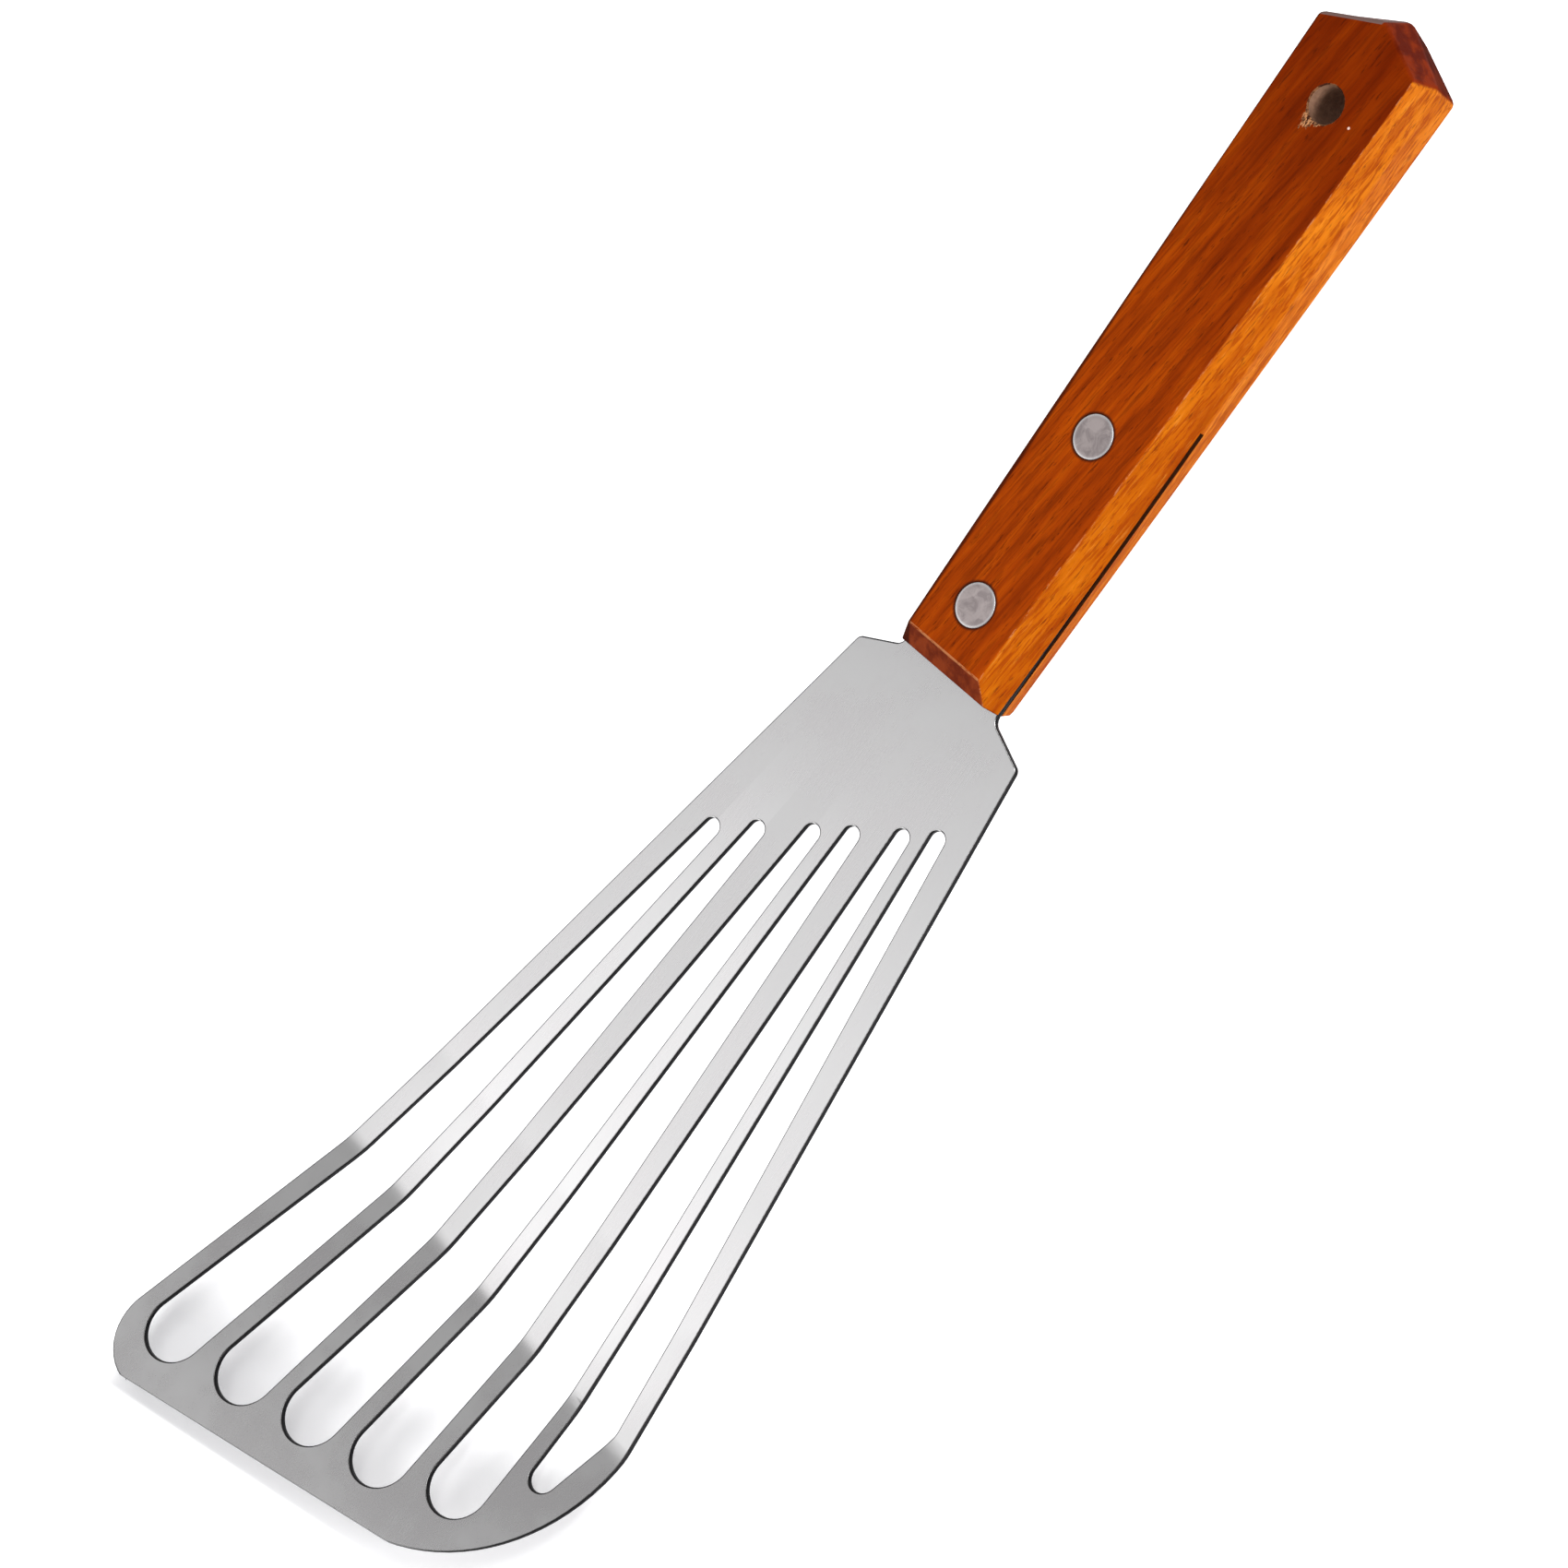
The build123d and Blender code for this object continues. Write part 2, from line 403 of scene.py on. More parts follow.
wood = bpy.data.materials.new("varnished_hardwood")
sawn_wood = bpy.data.materials.new("sawn_bare_wood")
handle_finishes = [wood, sawn_wood]
slots_for(handle, handle_finishes)
pick(handle)
bpy.ops.object.mode_set(mode="EDIT")
bpy.ops.mesh.select_all(action="SELECT")
bpy.ops.mesh.dissolve_limited(angle_limit=math.radians(0.05))
bpy.ops.object.mode_set(mode="OBJECT")
weigh_edges(handle, stick_weight)
round_edges(handle, width=1.0 * mm, segments=5, edge_slot=0)

# %% [markdown]
# ## Saw the slit and drill the holes
#
# The slit for the tang, the rivet holes with their seats, and the hang hole are cut with
# cutters, as in the workshop. The cutters carry the finish of bare wood, and the cut
# walls take it over. The drill left both rims of the hang hole a little rough and tore
# splinters from one side of the upper rim, so the rings of its cutter are pushed out
# unevenly there.


# %% Cut with a cutter
def cut(piece, cutter):
    slots_for(cutter, handle_finishes)
    dress(cutter, lambda face: 1)
    pick(piece)
    step = piece.modifiers.new("cut", "BOOLEAN")
    step.operation = "DIFFERENCE"
    step.solver = "EXACT"
    step.object = cutter
    bpy.ops.object.modifier_apply(modifier=step.name)
    bpy.data.objects.remove(cutter)
    print("after a cut:", len(piece.data.polygons), "faces")


def drill(name, x, radius, low, high, sides=64):
    bpy.ops.object.select_all(action="DESELECT")
    bpy.ops.mesh.primitive_cylinder_add(
        vertices=sides, radius=radius, depth=high - low, location=(x, 0, (low + high) / 2)
    )
    cutter = bpy.context.object
    cutter.name = name
    settle(cutter)
    return cutter


# %% The slit and the rivet holes
over = 5 * mm
kerf_end, kerf_half = 56.4 * mm, 0.6 * mm
seat_depth, seat_radius, shank_hole = 2.2 * mm, 4.0 * mm, 2.5 * mm
low_end, high_end = -half_thick - over, half_thick + over
bpy.ops.object.select_all(action="DESELECT")
bpy.ops.mesh.primitive_cube_add(size=1, location=((kerf_end + front_x + over) / 2, 0, 0))
saw = bpy.context.object
saw.scale = (front_x + over - kerf_end, 40 * mm, 2 * kerf_half)
settle(saw)
cut(handle, saw)
for x in (67.3 * mm, 101.8 * mm):
    cut(handle, drill("bore", x, shank_hole, low_end, high_end))
    cut(handle, drill("seat", x, seat_radius, half_thick - seat_depth, high_end))
    cut(handle, drill("seat", x, seat_radius, low_end, -half_thick + seat_depth))

# %% The hang hole with its ragged rims
hang_radius, rim_height = 3.4 * mm, 0.3 * mm
worn_mm, rough_mm, torn_mm, torn_turn = 0.16, 0.14, 0.8, -0.15
hang = drill("hang_hole", 0, hang_radius, low_end, high_end, 96)
bpy.ops.object.mode_set(mode="EDIT")
for height in (-half_thick + rim_height, -half_thick, half_thick - rim_height, half_thick):
    bpy.ops.mesh.select_all(action="SELECT")
    bpy.ops.mesh.bisect(plane_co=(0, 0, height), plane_no=(0, 0, 1))
bpy.ops.object.mode_set(mode="OBJECT")
for vertex in hang.data.vertices:
    if abs(vertex.co.z) > half_thick - 0.01 * mm:
        turn = math.atan2(vertex.co.y, vertex.co.x)
        torn = max(0.0, math.cos(turn - torn_turn)) ** 6 if vertex.co.z > 0 else 0.0
        ragged = 0.5 + 0.5 * math.sin(turn * 31) * math.cos(turn * 17 + 1)
        outward = (worn_mm + rough_mm * ragged + torn_mm * torn * ragged) * mm
        vertex.co.x += outward * math.cos(turn)
        vertex.co.y += outward * math.sin(turn)
cut(handle, hang)
even_shading(handle)
print("handle in mm:", [round(side / mm, 2) for side in handle.dimensions])

# %% [markdown]
# ## The rivets
#
# Each rivet is two parts pressed together through the wood: a hollow socket whose head
# sits in the upper flat, and a pin whose head sits in the lower flat. One of each is
# modelled from a disc. Its rim is broken with a bevel, which leaves the fine dark groove
# round each head, its middle is worn into a shallow dish, and the shank is inset and
# extruded out of its back.

# %% Read the rivet sizes from the measured nodes
socket_low, socket_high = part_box("rear_rivet_socket")
pin_low, pin_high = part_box("rear_rivet_pin")
front_low, front_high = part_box("front_rivet_socket")
head_radius = (socket_high.x - socket_low.x) / 2
head_depth, tube_radius, bore_radius = seat_depth, shank_hole, 1.7 * mm
rear_station = (socket_low.x + socket_high.x) / 2
front_station = (front_low.x + front_high.x) / 2
print("rivet stations in mm:", round(rear_station / mm, 2), round(front_station / mm, 2))


# %% Select faces or edges of a disc by height
def select_level(piece, height, edges_only=False):
    bpy.ops.object.mode_set(mode="EDIT")
    bpy.ops.mesh.select_mode(type="EDGE" if edges_only else "FACE")
    bpy.ops.mesh.select_all(action="DESELECT")
    bpy.ops.object.mode_set(mode="OBJECT")
    mesh = piece.data
    items = mesh.edges if edges_only else mesh.polygons
    picked = 0
    for item in items:
        level = all(abs(mesh.vertices[v].co.z - height) < 0.01 * mm for v in item.vertices)
        item.select = level
        picked += level
    bpy.ops.object.mode_set(mode="EDIT")
    return picked


# %% A rivet half from a disc
rim_round, flat_ring, dish_ring, dish_depth = 0.28 * mm, 0.9 * mm, 1.2 * mm, 0.03 * mm


def rivet_half(name, head_height, back_height, shank_radius, shank_length, bore=None):
    up = 1 if head_height > back_height else -1
    bpy.ops.object.select_all(action="DESELECT")
    bpy.ops.mesh.primitive_cylinder_add(
        vertices=64,
        radius=head_radius,
        depth=head_depth,
        location=(rear_station, 0, (head_height + back_height) / 2),
    )
    piece = bpy.context.object
    piece.name = piece.data.name = name
    settle(piece)
    select_level(piece, back_height)
    bpy.ops.mesh.inset(thickness=head_radius - shank_radius)
    extrude(0, -up * shank_length)
    if bore:
        bpy.ops.mesh.inset(thickness=shank_radius - bore)
        extrude(0, up * shank_length)
    rim = select_level(piece, head_height, edges_only=True)
    bpy.ops.mesh.bevel(offset=rim_round, segments=3, profile=0.6)
    select_level(piece, head_height)
    bpy.ops.mesh.inset(thickness=flat_ring)
    bpy.ops.mesh.inset(thickness=dish_ring)
    bpy.ops.transform.translate(value=(0, 0, -up * dish_depth))
    bpy.ops.mesh.select_all(action="SELECT")
    bpy.ops.mesh.normals_make_consistent(inside=False)
    bpy.ops.object.mode_set(mode="OBJECT")
    bpy.ops.object.shade_smooth_by_angle(angle=math.radians(40))
    print(name, "rim edges bevelled:", rim)
    return piece


# %% Model one socket and one pin
socket_back = socket_high.z - head_depth
pin_back = pin_low.z + head_depth
socket = rivet_half(
    "rear_socket_head",
    socket_high.z,
    socket_back,
    tube_radius,
    socket_back - socket_low.z,
    bore_radius,
)
pin = rivet_half(
    "rear_pin_head",
    pin_low.z,
    pin_back,
    bore_radius,
    pin_high.z - head_depth - pin_low.z,
)


# %% Copy them to the front rivet, each with its own mesh
def copy_along(piece, name, shift):
    twin = piece.copy()
    twin.data = piece.data.copy()
    twin.name = twin.data.name = name
    bpy.context.scene.collection.objects.link(twin)
    twin.location.x += shift
    settle(twin)
    return twin


spacing = front_station - rear_station
front_socket = copy_along(socket, "front_socket_head", spacing)
front_pin = copy_along(pin, "front_pin_head", spacing)
print("rivet spacing in mm:", round(spacing / mm, 2))

# %% [markdown]
# ## Small helpers for node trees
#
# A material is a chain of nodes, and a few helpers keep the chains readable. The first
# adds a node and fills its sockets. The next ones do sums on masks, mix two colours by a
# mask, tint a colour, turn a value into colours, and stretch a range of values over
# another one. A mask is 0 where something isn't and 1 where it is.


# %% Sums and mixes
def add_node(tree, kind, inputs=None, **settings):
    node = tree.nodes.new(kind)
    for key, value in settings.items():
        setattr(node, key, value)
    for key, value in (inputs or {}).items():
        socket_in = node.inputs[key]
        if isinstance(value, bpy.types.NodeSocket):
            tree.links.new(value, socket_in)
        else:
            socket_in.default_value = value
    return node


def maths(tree, operation, first, second=0.0, third=None, clamp=False):
    inputs = {0: first, 1: second}
    if third is not None:
        inputs[2] = third
    node = add_node(tree, "ShaderNodeMath", inputs, operation=operation, use_clamp=clamp)
    return node.outputs[0]


def product(tree, first, *others):
    for other in others:
        first = maths(tree, "MULTIPLY", first, other)
    return first


def highest(tree, first, *others):
    for other in others:
        first = maths(tree, "MAXIMUM", first, other)
    return first


def scaled(tree, value, by, plus):
    return maths(tree, "MULTIPLY_ADD", value, by, plus)


def vector_maths(tree, operation, first, second, answer=0):
    node = add_node(tree, "ShaderNodeVectorMath", {0: first, 1: second}, operation=operation)
    return node.outputs[answer]


def parts_of(tree, vector):
    node = add_node(tree, "ShaderNodeSeparateXYZ", {0: vector})
    return [node.outputs[axis] for axis in "XYZ"]


def blend(tree, mask, under, over, how="MIX"):
    node = add_node(tree, "ShaderNodeMix", {"Factor": mask}, data_type="RGBA", blend_type=how)
    # Of the node's many sockets, 6 and 7 take its two colours and output 2 gives the mix
    for socket_number, value in ((6, under), (7, over)):
        if isinstance(value, bpy.types.NodeSocket):
            tree.links.new(value, node.inputs[socket_number])
        else:
            node.inputs[socket_number].default_value = (*value, 1)
    return node.outputs[2]


def tinted(tree, colour, tint, mask=1.0):
    return blend(tree, mask, colour, tint, "MULTIPLY")


# %% Ramps and noise
def ramp(tree, value, stops, interpolation="LINEAR"):
    node = add_node(tree, "ShaderNodeValToRGB", {0: value})
    node.color_ramp.interpolation = interpolation
    elements = node.color_ramp.elements
    while len(elements) < len(stops):
        elements.new(0.5)
    for element, (place, colour) in zip(elements, stops):
        element.position = place
        element.color = (*colour, 1) if isinstance(colour, tuple) else (colour,) * 3 + (1,)
    return node.outputs["Color"]


def span(tree, value, low, high, to_low=0.0, to_high=1.0):
    node = add_node(
        tree,
        "ShaderNodeMapRange",
        {0: value, 1: low, 2: high, 3: to_low, 4: to_high},
        interpolation_type="SMOOTHSTEP",
    )
    return node.outputs[0]


def noise(tree, vector, scale, detail=3.0, roughness=0.55, distortion=0.0):
    settings = {"Scale": scale, "Detail": detail, "Roughness": roughness, "Distortion": distortion}
    return add_node(tree, "ShaderNodeTexNoise", {"Vector": vector, **settings}).outputs["Fac"]


def stretched(tree, vector, along, across, shift=(0, 0, 0)):
    settings = {"Scale": (along, across, across), "Location": shift}
    return add_node(tree, "ShaderNodeMapping", {"Vector": vector, **settings}).outputs["Vector"]


# %% Groups and materials
def new_group(name, inputs, outputs):
    group = bpy.data.node_groups.new(name, "ShaderNodeTree")
    for label, kind, default in inputs:
        made = group.interface.new_socket(label, in_out="INPUT", socket_type=kind)
        if default is not None:
            made.default_value = default
    for label in outputs:
        group.interface.new_socket(label, in_out="OUTPUT", socket_type="NodeSocketFloat")
    return group, group.nodes.new("NodeGroupInput"), group.nodes.new("NodeGroupOutput")


def hand_out(group, outlet, values):
    for label, value in values.items():
        group.links.new(value, outlet.inputs[label])
    print(group.name, "nodes:", len(group.nodes))


def use_group(tree, group, inputs):
    node = tree.nodes.new("ShaderNodeGroup")
    node.node_tree = group
    for key, value in inputs.items():
        if isinstance(value, bpy.types.NodeSocket):
            tree.links.new(value, node.inputs[key])
        else:
            node.inputs[key].default_value = value
    return node.outputs


def new_material(name):
    material = bpy.data.materials.get(name) or bpy.data.materials.new(name)
    material.use_nodes = True
    tree = material.node_tree
    tree.nodes.clear()
    output = tree.nodes.new("ShaderNodeOutputMaterial")
    shader = tree.nodes.new("ShaderNodeBsdfPrincipled")
    tree.links.new(shader.outputs[0], output.inputs[0])
    place = tree.nodes.new("ShaderNodeTexCoord").outputs["Object"]
    return material, tree, shader, place


def emboss(tree, shader, height, strength, depth):
    bump = add_node(tree, "ShaderNodeBump", {"Strength": strength, "Distance": depth, "Height": height})
    tree.links.new(bump.outputs[0], shader.inputs["Normal"])


# %% [markdown]
# ## Wood grain, as one shared group
#
# The stick was not cut quite along its fibres. They run out of it at about eight degrees
# to the far side and three degrees upwards, so every streak on the surface is a short
# slanting dash, on the flats and on the sloping sides alike. The pattern is solid: three
# axes are laid along and across the fibres, and noise is stretched along the first. The
# broad bands carry the tone, the streaks, strokes and pores are ever finer marks in it.

# %% The wood grain group
grain_group, grain_in, grain_out = new_group(
    "hardwood_grain",
    [("Vector", "NodeSocketVector", None), ("Band Contrast", "NodeSocketFloat", 2.4)],
    ("Bands", "Streaks", "Pores", "Strokes"),
)
g = grain_group
in_mm = vector_maths(g, "MULTIPLY", grain_in.outputs["Vector"], (1000, 1000, 1000))
fibre_axes = ((0.990, -0.131, 0.051), (0.131, 0.991, 0.0), (-0.050, 0.007, 0.999))
on_axes = [vector_maths(g, "DOT_PRODUCT", in_mm, axis, "Value") for axis in fibre_axes]
in_fibres = add_node(g, "ShaderNodeCombineXYZ", dict(enumerate(on_axes))).outputs[0]
band_field = noise(g, stretched(g, in_fibres, 0.026, 0.36, (9, 4, 2)), 1.0, 4.0, distortion=0.3)
streaks = noise(g, stretched(g, in_fibres, 0.055, 1.5, (3, 8, 5)), 1.0, 5.0, 0.65)
pore_field = noise(g, stretched(g, in_fibres, 0.26, 2.2, (1, 2, 7)), 1.0, 4.0, 0.65)
stroke_field = noise(g, stretched(g, in_fibres, 0.085, 1.9, (6, 4, 1)), 1.0, 3.0, 0.6)
pores = span(g, pore_field, 0.58, 0.68)
strokes = span(g, stroke_field, 0.50, 0.60)
centred = maths(g, "SUBTRACT", band_field, 0.5)
contrasted = scaled(g, centred, grain_in.outputs["Band Contrast"], 0.5)
streak_share = 0.35
lowered = maths(g, "SUBTRACT", contrasted, streak_share / 2)
bands = maths(g, "MULTIPLY_ADD", streaks, streak_share, lowered, clamp=True)
hand_out(g, grain_out, {"Bands": bands, "Streaks": streaks, "Pores": pores, "Strokes": strokes})

# %% [markdown]
# ## Scuffs, shared by all the bare metal
#
# Steel and rivets have been handled. Faint smudges change the gloss in soft patches,
# fine specks lie on top, and hair-fine lines run along the tool from polishing. The
# group gives all three, and each metal uses them in its own strength.

# %% The scuff group
scuff_group, scuff_in, scuff_out = new_group(
    "metal_scuffs",
    [("Vector", "NodeSocketVector", None), ("Line Turn", "NodeSocketFloat", 0.0)],
    ("Smudges", "Lines", "Specks"),
)
s = scuff_group
metal_mm = vector_maths(s, "MULTIPLY", scuff_in.outputs["Vector"], (1000, 1000, 1000))
turning = {"Vector": metal_mm, "Angle": scuff_in.outputs["Line Turn"]}
turned = add_node(s, "ShaderNodeVectorRotate", turning).outputs[0]
smudges = noise(s, metal_mm, 0.07, 4.0, 0.6)
lines = noise(s, stretched(s, turned, 0.10, 9.0), 1.0, 3.0, 0.7)
specks = noise(s, metal_mm, 1.6, 4.0, 0.7)
hand_out(s, scuff_out, {"Smudges": smudges, "Lines": lines, "Specks": specks})

# %% [markdown]
# ## Masks for the wood
#
# Three things decide the tone of a spot on the handle. Which way it faces picks flat,
# side or end. How far it is from the rivets and the hang hole gives the dark rings and
# the bare rim. How near it is to the far crease gives a dark line of painted shade.


# %% Which way a spot faces, and how far it is from an upright axis
def facing(tree):
    return parts_of(tree, add_node(tree, "ShaderNodeTexCoord").outputs["Normal"])


def from_axis(tree, place, x, y=0.0):
    flattened = vector_maths(tree, "MULTIPLY", place, (1000, 1000, 0))
    return vector_maths(tree, "DISTANCE", flattened, (x / mm, y / mm, 0), "Value")


def from_rivets(tree, place):
    rear, front = (from_axis(tree, place, station) for station in (rear_station, front_station))
    return maths(tree, "MINIMUM", rear, front)


# %% [markdown]
# ## Varnished wood
#
# The varnish makes the flats deep red brown, a little lighter towards the front. The
# sloping sides cut the fibres at another angle and look more golden, least so at the
# front, and where they turn under they get painted light bounced up from the floor. Dark
# streaks, strokes and pores lie over both, and the sides have a few pale streaks as well.

# %% Tones of the flats and the sides
wood, tree, shader, place = new_material("varnished_hardwood")
grain = use_group(tree, grain_group, {"Vector": place, "Band Contrast": 2.2})
face_x, face_y, face_z = facing(tree)
at_x, at_y, _ = parts_of(tree, place)
flat_tones = [
    (0.0, (0.190, 0.0170, 0.0004)),
    (0.5, (0.33, 0.0365, 0.0006)),
    (1.0, (0.47, 0.066, 0.0010)),
]
side_tones = [
    (0.0, (0.33, 0.052, 0.0012)),
    (0.5, (0.50, 0.110, 0.0030)),
    (1.0, (0.64, 0.180, 0.0090)),
]
to_front = span(tree, at_x, -20 * mm, 70 * mm)
to_near = span(tree, at_y, -7 * mm, 8 * mm)
flat_drift = blend(tree, to_front, (0.65, 0.53, 0.40), (1.27, 1.48, 1.5))
flat_shade = blend(tree, to_near, (0.98, 1.02, 1.0), (0.93, 0.92, 0.9))
flat_tone = tinted(tree, ramp(tree, grain["Bands"], flat_tones), flat_drift)
flat_tone = tinted(tree, flat_tone, flat_shade)
down_side = span(tree, at_x, -15 * mm, 85 * mm)
side_drift = blend(tree, down_side, (1.08, 1.16, 1.0), (0.90, 0.86, 0.35))
side_tone = tinted(tree, ramp(tree, grain["Bands"], side_tones), side_drift)
# Side faces that turn under get a lighter, bluer tint: painted light bounced up from the white floor.
under_facing_painted_bounce = span(tree, face_z, 0.0, -0.2)
side_tone = tinted(tree, side_tone, (1.14, 1.25, 3.0), under_facing_painted_bounce)
is_side = span(tree, maths(tree, "ABSOLUTE", face_y), 0.25, 0.75)
toned = blend(tree, is_side, flat_tone, side_tone)
print("wood nodes for the tones:", len(tree.nodes))

# %% Streaks, strokes and pores
streak_mask = span(tree, grain["Streaks"], 0.50, 0.66)
streak_depth = product(tree, streak_mask, scaled(tree, is_side, -0.22, 0.42))
streaked = blend(tree, streak_depth, toned, (0.12, 0.012, 0.0004))
pale_mask = product(tree, span(tree, grain["Streaks"], 0.44, 0.32), is_side, 0.22)
streaked = blend(tree, pale_mask, streaked, (0.86, 0.36, 0.050))
stroke_tone = blend(tree, is_side, (0.11, 0.010, 0.0003), (0.29, 0.038, 0.0008))
stroke_mask = product(tree, grain["Strokes"], scaled(tree, is_side, 0.40, 0.28))
streaked = blend(tree, stroke_mask, streaked, stroke_tone)
pore_mask = product(tree, grain["Pores"], 0.55)
pored = blend(tree, pore_mask, streaked, (0.045, 0.004, 0.0004))
print("wood nodes with the grain:", len(tree.nodes))

# %% [markdown]
# ## The ends of the stick
#
# End grain soaks up varnish and goes dark, so the butt and the front chamfer get tones
# of their own. Where the butt turns under, painted shade darkens it further. The rounded
# upper edge of the butt's far side gets a greyish painted sheen. Each end is picked by
# the way its faces point.

# %% End grain of the butt and the front chamfer
is_butt = span(tree, face_x, -0.35, -0.65)
is_front = span(tree, face_x, 0.35, 0.60)
butt_tones = [(0.3, (0.115, 0.009, 0.0010)), (0.7, (0.235, 0.024, 0.0020))]
front_tones = [(0.3, (0.175, 0.023, 0.0065)), (0.7, (0.31, 0.050, 0.0120))]
ended = blend(tree, is_butt, pored, ramp(tree, grain["Bands"], butt_tones))
ended = blend(tree, is_front, ended, ramp(tree, grain["Bands"], front_tones))
# Where the butt turns under, painted shade darkens it.
butt_underside_painted_shade = product(tree, is_butt, span(tree, face_z, -0.05, -0.25), 0.75)
ended = blend(tree, butt_underside_painted_shade, ended, (0.040, 0.0065, 0.0030))
# The rounded upper edge of the butt's far side gets a greyish painted sheen.
looks_back, looks_far = span(tree, face_x, -0.06, -0.22), span(tree, face_y, 0.05, -0.10)
far_edge_painted_sheen = product(tree, looks_back, looks_far, span(tree, face_z, 0.06, 0.25), 0.95)
ended = blend(tree, far_edge_painted_sheen, ended, (0.215, 0.135, 0.120))
print("wood nodes with the ends:", len(tree.nodes))

# %% [markdown]
# ## Wear and stains
#
# Handling rubs varnish off wherever an edge stands out, so the near crease and the edges
# of the front show broken pale lines. Dark stain gathered round the rivets, and a dark
# line of painted shade runs along the far crease. Beside the hang hole, towards the
# blade, the varnish has flaked, and a small nick in the flat shows fresh wood.

# %% Rubbed lines along the near crease and the front edges
crack = noise(tree, stretched(tree, place, 450.0, 1500.0), 1.0, 4.0, 0.7)
cross_crack = noise(tree, stretched(tree, place, 1500.0, 500.0), 1.0, 4.0, 0.7)
near_turn = product(
    tree,
    span(tree, face_y, 0.12, 0.35),
    span(tree, face_y, 0.85, 0.60),
    span(tree, face_z, 0.1, 0.4),
    span(tree, face_x, -0.30, -0.15),
)
front_turn = product(
    tree,
    span(tree, face_x, 0.04, 0.16),
    span(tree, face_x, 0.69, 0.58),
    span(tree, face_y, 0.22, 0.10),
)
near_rub = product(tree, near_turn, span(tree, crack, 0.50, 0.62), 0.45)
front_rub = product(tree, front_turn, span(tree, cross_crack, 0.36, 0.52), 0.65)
worn = blend(tree, highest(tree, near_rub, front_rub), ended, (0.66, 0.27, 0.11))
print("wood nodes with the rubbed lines:", len(tree.nodes))

# %% Dark rings, the dark far crease, flakes and the nick
ring_mask = product(tree, span(tree, from_rivets(tree, place), 4.60, 4.05), 0.85)
ringed = blend(tree, ring_mask, worn, (0.022, 0.005, 0.003))
# The far crease gets a dark line of painted shade.
half_width = span(tree, at_x, -12.6 * mm, 111.0 * mm, 11.6 * mm, 9.1 * mm)
to_far = maths(tree, "ADD", at_y, half_width)
far_crease_painted_shade = product(tree, span(tree, to_far, 0.68 * mm, 0.10 * mm), 0.8)
creased = blend(tree, far_crease_painted_shade, ringed, (0.030, 0.0035, 0.0015))
flake_field = noise(tree, place, 900.0, 4.0, 0.7)
flake_near = product(tree, from_axis(tree, place, 4.0 * mm, -1.2 * mm), -1.0)
flakes = span(tree, scaled(tree, flake_field, 4.8, flake_near), 0.85, 1.1)
splinters = noise(tree, stretched(tree, place, 500.0, 2200.0), 1.0, 3.0, 0.7)
is_splinter = span(tree, splinters, 0.44, 0.56)
flake_tone = blend(tree, is_splinter, (0.050, 0.012, 0.005), (0.66, 0.30, 0.13))
flaked = blend(tree, flakes, creased, flake_tone)
nick = span(tree, from_axis(tree, place, 0.8 * mm, 6.4 * mm), 0.32, 0.16)
tree.links.new(blend(tree, nick, flaked, (0.95, 0.66, 0.56)), shader.inputs["Base Color"])
print("wood nodes with the stains:", len(tree.nodes))

# %% [markdown]
# ## Gloss and relief of the varnish
#
# The varnish is glossy on the flats and duller on the ends, below and where it flaked.
# A shader wants this the other way round, as roughness. Pores, streaks and flakes sink
# in a little, which a bump shows without changing the mesh.

# %% Roughness and bump
rough = scaled(tree, streak_mask, 0.10, 0.28)
rough = scaled(tree, highest(tree, is_butt, is_front), 0.30, rough)
rough = scaled(tree, span(tree, face_z, 0.0, -0.25), 0.35, rough)
tree.links.new(scaled(tree, flakes, 0.3, rough), shader.inputs["Roughness"])
shader.inputs["Specular IOR Level"].default_value = 0.025
relief = scaled(tree, grain["Pores"], -0.6, product(tree, streak_mask, -0.25))
emboss(tree, shader, scaled(tree, flakes, -1.5, relief), 0.30, 0.06 * mm)
print("varnished wood nodes:", len(tree.nodes))

# %% [markdown]
# ## Bare wood in the slit and the holes
#
# No varnish reached the cut walls. They are dull and fuzzy. In the slit they are painted
# nearly black as shade, and in the hang hole they are a paler greyed brown. The torn side
# of its rim shows fresh splinters.

# %% The bare wood material
sawn_wood, tree, shader, place = new_material("sawn_bare_wood")
at_x, _, at_z = parts_of(tree, place)
fuzz = noise(tree, place, 900.0, 4.0, 0.7)
# The slit walls are painted nearly black: painted shade in the narrow slit.
slit_painted_shade = blend(tree, fuzz, (0.025, 0.007, 0.002), (0.10, 0.030, 0.009))
hang_tone = blend(tree, fuzz, (0.11, 0.050, 0.028), (0.44, 0.25, 0.16))
rim_fuzz = span(tree, fuzz, 0.42, 0.58)
plain_rim = blend(tree, rim_fuzz, (0.055, 0.013, 0.005), (0.24, 0.105, 0.045))
torn_rim = blend(tree, rim_fuzz, (0.045, 0.012, 0.005), (0.62, 0.29, 0.13))
rim_tone = blend(tree, span(tree, at_x, 2.6 * mm, 3.6 * mm), plain_rim, torn_rim)
near_rim = span(tree, maths(tree, "ABSOLUTE", at_z), 6.90 * mm, 7.0 * mm)
hang_tone = blend(tree, near_rim, hang_tone, rim_tone)
hang_wall = span(tree, from_axis(tree, place, 0.0), 6.0, 5.0)
tree.links.new(blend(tree, hang_wall, slit_painted_shade, hang_tone), shader.inputs["Base Color"])
tree.links.new(scaled(tree, fuzz, 0.2, 0.7), shader.inputs["Roughness"])
shader.inputs["Specular IOR Level"].default_value = 0.1
emboss(tree, shader, fuzz, 0.6, 0.15 * mm)
print("bare wood nodes:", len(tree.nodes))
